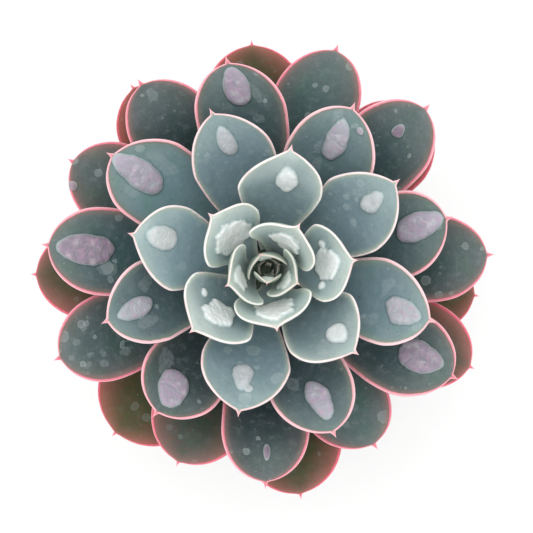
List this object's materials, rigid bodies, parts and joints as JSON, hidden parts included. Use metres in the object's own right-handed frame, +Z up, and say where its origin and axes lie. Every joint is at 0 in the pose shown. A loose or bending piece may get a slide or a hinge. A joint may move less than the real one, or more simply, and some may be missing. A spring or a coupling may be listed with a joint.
{
  "type": "potted succulent",
  "caption": "Rosette succulent with thick cupped leaves, each with a fine point, on a short woody stem, growing in soil in a plain round tapered pot.",
  "frame": {"origin": "centre of the pot's flat underside, on the surface that the pot stands on", "axes": "+Z up along the pot's axis and the plant's stem; +X to the right and +Y to the top of a view from straight above"},
  "size_m": [0.1365, 0.1371, 0.1618],
  "materials": {
    "pot": "satin white, with a smooth moulded surface",
    "soil": "rough, dark and crumbly, with pale grit",
    "stem": "matt brown bark with leaf scars",
    "leaf_bud": "pale grey-green skin with a waxy bloom and cream-white margins",
    "leaf_inner": "blue-green skin with a waxy bloom, pale raised growths and cream-pink margins",
    "leaf_outer": "dark blue-green skin with a waxy bloom, lilac growths and pink margins",
    "leaf_oldest": "dull olive-brown skin with a thin bloom and red margins"
  },
  "bodies": {
    "root": {"pot": "pot", "soil": "soil", "stem": "stem", "leaf_00": "leaf_bud", "leaf_01": "leaf_bud", "leaf_02": "leaf_bud", "leaf_03": "leaf_bud", "leaf_04": "leaf_bud", "leaf_05": "leaf_bud", "leaf_06": "leaf_bud", "leaf_07": "leaf_bud", "leaf_08": "leaf_inner", "leaf_09": "leaf_inner", "leaf_10": "leaf_inner", "leaf_11": "leaf_inner", "leaf_12": "leaf_inner", "leaf_13": "leaf_inner", "leaf_14": "leaf_inner", "leaf_15": "leaf_inner", "leaf_16": "leaf_inner", "leaf_17": "leaf_inner", "leaf_18": "leaf_inner", "leaf_19": "leaf_outer", "leaf_20": "leaf_outer", "leaf_21": "leaf_outer", "leaf_22": "leaf_outer", "leaf_23": "leaf_outer", "leaf_24": "leaf_outer", "leaf_25": "leaf_outer", "leaf_26": "leaf_outer", "leaf_27": "leaf_outer", "leaf_28": "leaf_outer", "leaf_29": "leaf_outer", "leaf_30": "leaf_outer", "leaf_31": "leaf_outer", "leaf_32": "leaf_outer", "leaf_33": "leaf_outer", "leaf_34": "leaf_outer", "leaf_35": "leaf_outer", "leaf_36": "leaf_outer", "leaf_38": "leaf_oldest", "leaf_40": "leaf_oldest", "leaf_41": "leaf_oldest", "leaf_43": "leaf_oldest", "leaf_45": "leaf_oldest", "leaf_46": "leaf_oldest", "leaf_47": "leaf_oldest", "leaf_50": "leaf_oldest", "leaf_52": "leaf_oldest"}
  },
  "joints": []
}
